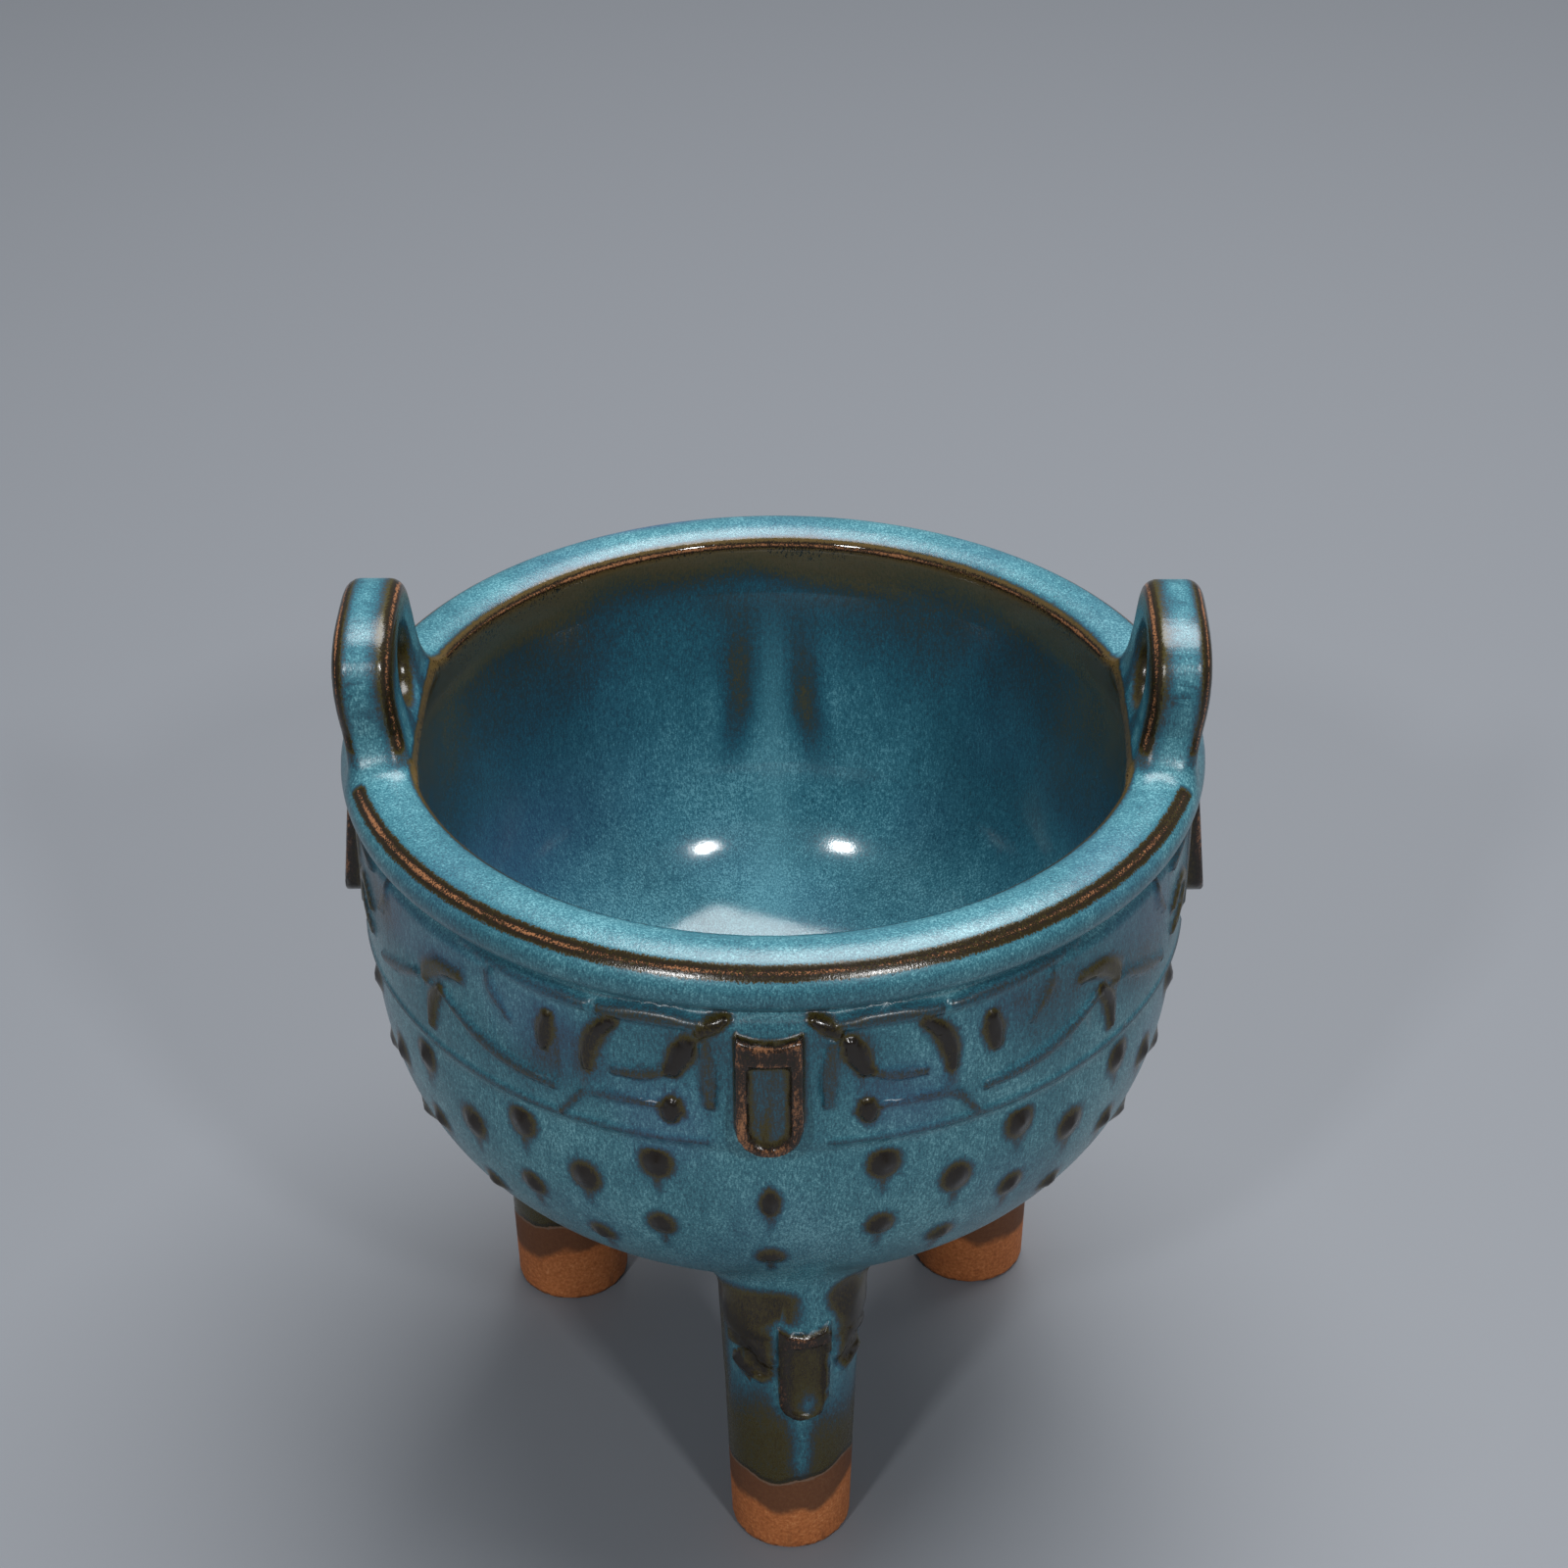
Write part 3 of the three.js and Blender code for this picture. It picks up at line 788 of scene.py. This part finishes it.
def patch(x, y, points, width):
    """1 within half a width of a line, falling to 0 at 1.25 widths."""
    d, _ = line_distance(x, y, points)
    return fade_out(0.5, 1.25, d / width)


def with_tab(thin, on, tab):
    """The glaze of a wall or a leg, with a tab's own glaze where the tab is."""
    return np.where(on > 0, np.maximum(thin * (1 - on), tab), thin)


def stud_thinness(p):
    """Glaze on the studs, and on a short run down from each."""
    turn, depth, radius = wall_place(p)
    on_stud = fade_out(0.45, 1.4, stud_field(p)) * smooth_step(41, 43, depth)
    thin = np.interp(depth, *STUD_THIN) * on_stud
    for stud_turn, stud_depth in STUDS:
        dx = np.abs(np.radians(turn - stud_turn) * radius)
        along = (depth - stud_depth) / STUD_RUN
        run = fade_out(0.3, 1.3, dx) * np.clip(1 - np.abs(2 * along - 1), 0, 1)
        thin = np.maximum(thin, STUD_RUN_THIN * run)
    return thin


def wall_thinness(p):
    """Glaze on the outside of the bowl, and where the flanges are."""
    turn, depth, radius = wall_place(p)
    _, thin = stroke_fields(p)
    thin = np.minimum(thin * (0.8 + 0.4 * variation(p, 34, 3)), STROKE_THIN_MOST)
    band = smooth_step(11, 16, depth) * fade_out(24, 42, depth)
    thin = np.maximum(thin, FRIEZE_CLOUD_THIN * band * variation(p, 26, 5) ** 2)
    thin = np.maximum(thin, stud_thinness(p))
    across = np.radians(turn) * BELLY_RADIUS
    on, tab = FLANGE.thinness(across, FLANGE_TOP - depth, radius - BELLY_RADIUS, FLANGE_POOL_THIN)
    return with_tab(thin, on, tab), on


def leg_thinness(p):
    """Glaze on the legs, and where their tabs are."""
    turn, distance, _ = leg_place(p)
    z = p[:, 2]
    down = z - TAB_TOP
    local = tab_turn(turn)
    near = np.abs(local) < TAB_REACH
    x = np.radians(local) * CARVING_RADIUS
    thin = LEG_LOW_THIN * fade_out(33, 55, z + 8 * np.abs(np.sin(np.radians(turn + 30))))
    thin = np.maximum(thin, LEG_SIDE_THIN * smooth_step(14, 22, np.abs(x)) * fade_out(60, 68, z))
    for points, width, bare in LEG_PATCHES:
        thin = np.maximum(thin, bare * patch(x, z, points, width))
    run = hump(x + 0.5, 2.2) * smooth_step(16, 26, z) * fade_out(40, 46, z)
    halo = fade_out(0.4, 2.6, LEG_TAB.plate(x, down)) * near
    thin *= (1 - 0.9 * run) * (1 - 0.85 * halo)
    on, tab = LEG_TAB.thinness(x, down, distance - leg_radius(z) + 0.3, TAB_POOL_THIN)
    pool = hump(x - 0.6, 2.0) * hump(z - 41.5, 3.4)
    head = fade_out(0.7, 1.9, np.abs(down + 3.2))
    tab = np.maximum(tab * (1 - 0.75 * pool), TAB_HEAD_THIN * on * head)
    on = on * near
    return with_tab(thin, on, tab * near), on


def foot_lines(p):
    """Height above the glaze's end on a leg, and above the dark wash's end on the clay."""
    turn, _, which = leg_place(p)
    a = np.radians(turn + np.array(FOOT_LINE_TURNS)[which])
    line = GLAZE_END + 1.1 * np.sin(2 * a + 0.4) - 0.8 * np.cos(3 * a) + 0.45 * np.sin(7 * a + 1)
    wash = line - WASH_GAP - 3.4 * np.cos(a + 0.1) - 0.9 * np.sin(3 * a)
    wash = np.minimum(wash, line - WASH_GAP_LEAST)
    low = p[:, 2] < FOOT_LINE_TOP
    return [np.where(low, p[:, 2] - end, FAR_ABOVE_FOOT) for end in (line, wash)]


def inside_thinness_and_shade(p):
    """Glaze in the bowl, thin below the rim, darker at the side walls partly from thinner glaze and partly
    as painted shade, and the milky run down the back.
    """
    angle = back_angle(p)
    radius, level = section_place(p)
    depth = -level
    side = np.abs(np.sin(angle))
    band = fade_out(1 + 6 * side**3, 25 + 9 * side**3, depth + 5 * variation(p, 30, 8))
    band = np.maximum(band, BOWL_LOW_SHARE * fade_out(18, 44, depth))
    # Darker side walls: partly thinner glaze, partly painted shade.
    side_thin_and_shade = BOWL_SIDE_THIN_AND_SHADE * side**2 * fade_out(36, 78, depth)
    band = np.maximum(band, side_thin_and_shade * (0.75 + 0.25 * variation(p, 24, 9)))
    ring = hump(depth - RUN_DEPTH, 3.5)
    x = angle * np.maximum(radius, 20)
    from_streak = np.abs(x) - (4.6 + 0.17 * (depth - 27))
    streak = hump(from_streak, 3.6) * smooth_step(20, 33, depth) * fade_out(38, 62, depth)
    run = hump(x, 2.2 + 0.05 * np.maximum(depth - RUN_DEPTH, 0))
    run *= smooth_step(RUN_DEPTH, 36, depth) * fade_out(80, 92, depth)
    spot = hump((angle - SPOT_ANGLE) * SPOT_RADIUS, SPOT_SIZE) * hump(depth - SPOT_DEPTH, SPOT_SIZE)
    thin = np.maximum.reduce([BOWL_BAND_THIN * band, BOWL_RING_THIN * ring,
                              BOWL_STREAK_THIN * streak, BOWL_SPOT_THIN * spot])
    return thin * (1 - 0.8 * run), run


def ear_thinness(p):
    """Glaze on the ears, distances from both faces' edge lines, and how near the outline it is."""
    across, level, through, half = ear_place(p)
    rim = -EAR(across, level)
    inner = (half + through) - rim
    outer = (half - through) - rim
    face = fade_out(0.5, 1.6, half + through)
    high = 0.6 + 0.4 * smooth_step(6, 20, level)
    thin = np.maximum.reduce([
        EAR_FACE_THIN * face * smooth_step(9, 22, level) * fade_out(2, 9, rim),
        EAR_HOLE_THIN * fade_out(0.5, 1.6, np.abs(ear_hole(across, level))),
        EAR_INNER_THIN * high * fade_out(1.2, 5.6, np.abs(inner)),
        EAR_OUTER_THIN * high * fade_out(1.0, 3.8, np.abs(outer)),
    ])
    return thin, inner / math.sqrt(2), outer / math.sqrt(2), fade_out(3.2, 4.6, rim)


def violet_share(p):
    """Where the thick glaze turns violet: a patch on the rim, one in the bowl, and faint clouds."""
    angle = back_angle(p)
    radius, level = section_place(p)
    depth = -level
    rim = hump(angle + 0.33, 0.15) * smooth_step(75.5, 79.5, radius) * (depth < 5) * (p[:, 1] > 0)
    bowl = hump(angle + 0.95, 0.5) * hump(depth - 58, 16) * (radius < 72)
    band = smooth_step(9, 16, depth) * fade_out(34, 60, depth) * (radius > 71)
    clouds = smooth_step(0.5, 0.95, variation(p, 38, 12)) * (0.12 + 0.24 * band)
    return np.maximum.reduce([rim, 0.5 * bowl, clouds])


def rim_lines(p):
    """Distances from the lip's outer and inner edge lines, and how clear of the ears it is."""
    radius, level = section_place(p)
    outer = 0.72 * (radius - LIP_RADIUS - 0.1) - 0.69 * (level + 0.1)
    inner = -0.62 * (radius - LIP_INNER_RADIUS) - 0.78 * (level + 0.6)
    across, _, _, _ = ear_place(p)
    clear = smooth_step(EAR_WIDTH / 2 + 2.2, EAR_WIDTH / 2 + 4.0, np.abs(across))
    return outer, inner, clear


def copper_lines(p, on_ear, ear_lines):
    """Distances from two edge lines of an ear or the lip, and how strong the lines are."""
    radius, level = section_place(p)
    ear_inner, ear_outer, ear_edge = ear_lines
    rim_outer, rim_inner, clear = rim_lines(p)
    high = level > -COPPER_DEPTH
    in_bowl = (radius < 74) & (high | (HOLLOW(radius, level) < 3))
    rim_a = np.where(in_bowl, -FAR_FROM_LINE, np.where(high, rim_outer, FAR_FROM_LINE))
    rim_b = np.where(in_bowl, rim_inner, -FAR_FROM_LINE)
    lines = [np.where(on_ear > 0.5, ear_inner, rim_a), np.where(on_ear > 0.5, ear_outer, rim_b)]
    share = np.where(on_ear > 0.5, smooth_step(3.4, 5.6, level) * ear_edge, clear)
    return [np.clip(line, -FAR_FROM_LINE, FAR_FROM_LINE) for line in lines] + [share]


def glaze_fields(mesh):
    """Writes what the material needs to know about every vertex."""
    p = vertices(mesh)
    z = p[:, 2]
    radius, level = section_place(p)
    inside = fade_out(0.8, 2.2, HOLLOW(radius, level)) * (level < 4)
    on_ear = smooth_step(1.9, 3.2, level)
    _, from_leg, _ = leg_place(p)
    on_leg = fade_out(71.5, 75.5, z) * fade_out(0.5, 2.5, from_leg - leg_radius(z) - 0.6)
    on_leg *= 1 - inside
    on_wall = (1 - inside) * (1 - on_leg)
    wall, on_flange = wall_thinness(p)
    leg, on_tab = leg_thinness(p)
    bowl, run = inside_thinness_and_shade(p)
    ear, *ear_lines = ear_thinness(p)
    # In the bowl this also carries painted shade on the side walls.
    thin = wall * on_wall + leg * on_leg + bowl * inside
    line_a, line_b, line_share = copper_lines(p, on_ear, ear_lines)
    glaze_edge, wash_edge = foot_lines(p)
    fields = {
        "thin": thin * (1 - on_ear) + ear * on_ear,
        "bend": np.clip(bend_of(p), -1, 1),
        "line_a": line_a,
        "line_b": line_b,
        "line_share": line_share,
        "inside": inside,
        "run": run * inside,
        "violet": violet_share(p),
        "tab": np.maximum(on_flange * on_wall, on_tab * on_leg),
        "glaze_edge": glaze_edge,
        "wash_edge": wash_edge,
    }
    for name, values in fields.items():
        layer = mesh.attributes.new(name, "FLOAT", "POINT")
        layer.data.foreach_set("value", values.astype(np.float32))


class Nodes:
    """Short calls for building a material's node tree."""

    def __init__(self, name):
        self.material = bpy.data.materials.new(name)
        self.material.use_nodes = True
        self.tree = self.material.node_tree
        self.shader = self.tree.nodes["Principled BSDF"]

    def put(self, node, socket, value):
        """Links a socket's value, or sets a plain one."""
        if isinstance(value, bpy.types.NodeSocket):
            self.tree.links.new(value, node.inputs[socket])
        else:
            node.inputs[socket].default_value = value

    def math(self, operation, *terms):
        node = self.tree.nodes.new("ShaderNodeMath")
        node.operation = operation
        for socket, term in enumerate(terms):
            self.put(node, socket, term)
        return node.outputs[0]

    def chain(self, operation, terms):
        total = terms[0]
        for term in terms[1:]:
            total = self.math(operation, total, term)
        return total

    def add(self, *terms):
        return self.chain("ADD", terms)

    def times(self, *terms):
        return self.chain("MULTIPLY", terms)

    def mixed(self, *shares):
        """The sum of a few values, each with its share."""
        return self.add(*[self.times(value, share) for value, share in shares])

    def step(self, low, high, value):
        """Smoothly from 0 at low to 1 at high."""
        node = self.tree.nodes.new("ShaderNodeMapRange")
        node.interpolation_type = "SMOOTHSTEP"
        self.put(node, "Value", value)
        self.put(node, "From Min", low)
        self.put(node, "From Max", high)
        return node.outputs["Result"]

    def fall(self, low, high, value):
        """Smoothly from 1 at low to 0 at high."""
        return self.math("SUBTRACT", 1.0, self.step(low, high, value))

    def near(self, value, middle, full, none):
        """1 within full of the middle, and 0 beyond none."""
        return self.fall(full, none, self.math("ABSOLUTE", self.add(value, -middle)))

    def field(self, name):
        """A value that every vertex has."""
        node = self.tree.nodes.new("ShaderNodeAttribute")
        node.attribute_name = name
        return node.outputs["Fac"]

    def place(self, scale):
        """A point's place on the piece, with each axis scaled."""
        coordinates = self.tree.nodes.new("ShaderNodeTexCoord")
        mapping = self.tree.nodes.new("ShaderNodeMapping")
        self.tree.links.new(coordinates.outputs["Object"], mapping.inputs["Vector"])
        mapping.inputs["Scale"].default_value = scale
        return mapping.outputs["Vector"]

    def noise(self, size, place, detail=2.0, roughness=0.5):
        """Noise from about -0.5 to 0.5 with grains about size across, in millimetres."""
        node = self.tree.nodes.new("ShaderNodeTexNoise")
        node.inputs["Scale"].default_value = 1 / (size * MM)
        node.inputs["Detail"].default_value = detail
        node.inputs["Roughness"].default_value = roughness
        self.tree.links.new(place, node.inputs["Vector"])
        return self.math("SUBTRACT", node.outputs["Fac"], 0.5)

    def blend(self, share, a, b, kind="MIX"):
        node = self.tree.nodes.new("ShaderNodeMix")
        node.data_type = "RGBA"
        node.blend_type = kind
        node.clamp_factor = True
        self.put(node, 0, share)
        self.put(node, 6, a)
        self.put(node, 7, b)
        return node.outputs[2]

    def ramp(self, value, stops):
        node = self.tree.nodes.new("ShaderNodeValToRGB")
        marks = node.color_ramp.elements
        while len(marks) < len(stops):
            marks.new(0.5)
        for mark, (position, colour) in zip(marks, stops):
            mark.position = position
            mark.color = (*colour, 1)
        self.put(node, "Fac", value)
        return node.outputs["Color"]

    def bump(self, height, distance, strength):
        node = self.tree.nodes.new("ShaderNodeBump")
        node.inputs["Distance"].default_value = distance * MM
        node.inputs["Strength"].default_value = strength
        self.put(node, "Height", height)
        return node.outputs["Normal"]


class Glaze(Nodes):
    """Glaze over iron-rich slip, with bare clay at the feet."""

    def __init__(self):
        super().__init__("jun_glaze")
        self.even = self.place((1, 1, 1))
        upright = self.place(UPRIGHT)
        self.grain = self.noise(GRAIN, upright, 2.5, 0.6)
        self.speck = self.noise(SPECK, self.even, 1.5, 0.6)
        self.mottle = self.noise(MOTTLE, upright, 3.0, 0.55)
        self.cloud = self.noise(CLOUD, self.even)
        self.copper_patch = self.noise(COPPER_PATCH, self.even, 1.0)
        self.clay_grain = self.noise(CLAY_GRAIN, self.even, 3.0, 0.65)
        self.inside = self.field("inside")

    def thinness(self):
        """How thin the glaze is, thinner on edges and ragged with its grain."""
        laid = self.field("thin")
        on_tab = self.field("tab")
        edge = self.math("MAXIMUM", self.field("bend"), 0.0)
        free = self.math("SUBTRACT", 1.0, laid)
        on_edge = self.times(free, self.add(0.13, self.times(edge, 0.16)))
        on_ridge = self.times(edge, on_tab, self.add(0.08, self.times(self.mottle, 0.5)))
        ragged = self.mixed((self.grain, 0.58), (self.speck, 0.44), (self.mottle, 0.16), (self.cloud, 0.24))
        ragged = self.times(ragged, self.add(0.5, self.times(free, 0.4)))
        thin = self.add(laid, on_edge, on_ridge, ragged)
        return self.math("MINIMUM", thin, self.add(GLAZE_THIN_MOST, self.times(on_tab, 0.3)))

    def copper_line(self, name, reach, copper):
        """Thinness along an edge line: a dark border and a ragged copper core."""
        wander = self.mixed((self.grain, 1.6), (self.mottle, 0.5))
        away = self.add(self.math("ABSOLUTE", self.field(name)), wander, reach)
        on = self.times(self.fall(1.15, 1.95, away), self.field("line_share"))
        core = self.fall(0.05, 0.95, away)
        metal = self.mixed((self.copper_patch, 0.7), (self.grain, 1.1), (self.speck, 0.9))
        return self.times(on, self.add(0.74, self.times(core, self.add(copper, metal))))

    def glaze_colour(self, thin):
        """The glaze's colour by its thinness, with the thick glaze in the bowl darker and bluer, partly
        from pooling and partly as painted shade, and its violet.
        """
        colour = self.ramp(thin, GLAZE_STOPS)
        # Darker, bluer thick glaze in the bowl: partly pooling, partly painted shade.
        pooled_and_shaded = self.blend(1.0, colour, BOWL_POOL_AND_SHADE_TINT, "MULTIPLY")
        colour = self.blend(self.times(self.inside, self.fall(0.34, 0.5, thin)), colour, pooled_and_shaded)
        olive = self.times(self.inside, self.step(0.42, 0.72, thin), self.fall(0.72, 0.78, thin), 0.9)
        colour = self.blend(olive, colour, OLIVE)
        violet = self.times(self.field("violet"), self.fall(0.3, 0.5, thin), 0.62)
        colour = self.blend(violet, colour, VIOLET)
        return self.blend(self.times(self.field("run"), 0.22), colour, MILKY)

    def clay_colour(self, above_end):
        """The bare clay's colour, with its dark wash and a pale ring below the glaze's end."""
        grain = self.mixed((self.clay_grain, 1.7), (self.cloud, 0.5))
        clay = self.ramp(self.add(0.5, grain), CLAY_STOPS)
        wave = self.times(self.noise(WASH_WAVE, self.even), 3.0)
        wash = self.step(-1.6, 0.8, self.add(self.field("wash_edge"), wave))
        clay = self.blend(self.times(wash, 0.85), clay, DARK_WASH)
        pale = self.near(above_end, -0.3, 0.1, 0.42)
        return self.blend(self.times(pale, 0.35), clay, PALE_RING)

    def build(self):
        """Joins the glaze and the clay, and sets their gloss and fine relief."""
        thin = self.thinness()
        thin = self.math("MAXIMUM", thin, self.copper_line("line_a", 0.0, 0.15))
        thin = self.math("MAXIMUM", thin, self.copper_line("line_b", 0.2, 0.26))
        wave = self.times(self.noise(GLAZE_END_WAVE, self.even, 3.0), 1.6)
        above_end = self.add(self.field("glaze_edge"), wave)
        bare = self.fall(-0.15, 0.15, above_end)
        dark = self.times(self.near(above_end, 0.5, 0.25, 0.8), 0.6)
        colour = self.blend(dark, self.glaze_colour(thin), DARK_END)
        colour = self.blend(bare, colour, self.clay_colour(above_end))
        wet = self.step(0.5, 0.75, thin)
        satin = self.mixed((self.grain, 0.2), (self.cloud, 0.12), (self.inside, -0.165), (wet, -0.1))
        calm = self.math("SUBTRACT", 1.0, self.times(self.inside, 0.75))
        glaze_relief = self.times(self.mixed((self.grain, 0.5), (self.mottle, 0.8)), calm)
        relief = self.add(glaze_relief, self.times(self.clay_grain, bare, 1.5))
        self.put(self.shader, "Base Color", colour)
        self.put(self.shader, "Roughness", self.add(0.29, satin, self.times(bare, 0.5)))
        self.put(self.shader, "IOR", GLAZE_IOR)
        self.put(self.shader, "Normal", self.bump(relief, RELIEF_HEIGHT, RELIEF_STRENGTH))
        return self.material


def camera():
    data = bpy.data.cameras.new("camera")
    data.sensor_width = CAMERA_SENSOR
    data.lens = CAMERA_LENS
    data.clip_start, data.clip_end = CAMERA_CLIP
    holder = bpy.data.objects.new("camera", data)
    bpy.context.scene.collection.objects.link(holder)
    pitch, yaw, roll = (math.radians(a) for a in (CAMERA_PITCH, CAMERA_YAW, CAMERA_ROLL))
    ahead = Vector((math.sin(yaw) * math.cos(pitch), math.cos(yaw) * math.cos(pitch), -math.sin(pitch)))
    level = Vector((math.cos(yaw), -math.sin(yaw), 0))
    upright = level.cross(ahead)
    right = math.cos(roll) * level + math.sin(roll) * upright
    up = -math.sin(roll) * level + math.cos(roll) * upright
    turn = Matrix((right, up, -ahead)).transposed().to_4x4()
    holder.matrix_world = Matrix.Translation(Vector(CAMERA_PLACE) * MM) @ turn
    bpy.context.scene.camera = holder


def floor():
    mesh = bpy.data.meshes.new("floor")
    corners = [(FLOOR_HALF * x, FLOOR_HALF * y, 0) for x, y in ((-1, -1), (1, -1), (1, 1), (-1, 1))]
    mesh.from_pydata(corners, [], [(0, 1, 2, 3)])
    holder = bpy.data.objects.new("floor", mesh)
    bpy.context.scene.collection.objects.link(holder)
    table = Nodes("floor")
    table.put(table.shader, "Base Color", FLOOR_COLOUR)
    table.put(table.shader, "Roughness", FLOOR_ROUGHNESS)
    mesh.materials.append(table.material)


def soft_light(name, azimuth, elevation, distance, size, power):
    """A square soft light that faces the bowl."""
    data = bpy.data.lights.new(name, "AREA")
    data.size = size
    data.energy = power
    holder = bpy.data.objects.new(name, data)
    bpy.context.scene.collection.objects.link(holder)
    a, e = math.radians(azimuth), math.radians(elevation)
    away = Vector((math.sin(a) * math.cos(e), -math.cos(a) * math.cos(e), math.sin(e)))
    holder.location = Vector(LIGHT_AIM) + away * distance
    holder.rotation_mode = "QUATERNION"
    holder.rotation_quaternion = (-away).to_track_quat("-Z", "Y")


def room():
    """Light from all sides, and plain colours in the picture."""
    world = bpy.data.worlds.new("room")
    bpy.context.scene.world = world
    world.use_nodes = True
    background = world.node_tree.nodes["Background"]
    background.inputs["Color"].default_value = ROOM_COLOUR
    background.inputs["Strength"].default_value = ROOM_STRENGTH
    bpy.context.scene.view_settings.view_transform = "Standard"


piece = build_piece(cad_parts["censer"])
glaze_fields(piece.data)
piece.data.materials.append(Glaze().build())
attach(piece, "root")
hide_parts("censer")
camera()
floor()
for light, values in LIGHTS.items():
    soft_light(light, *values)
room()
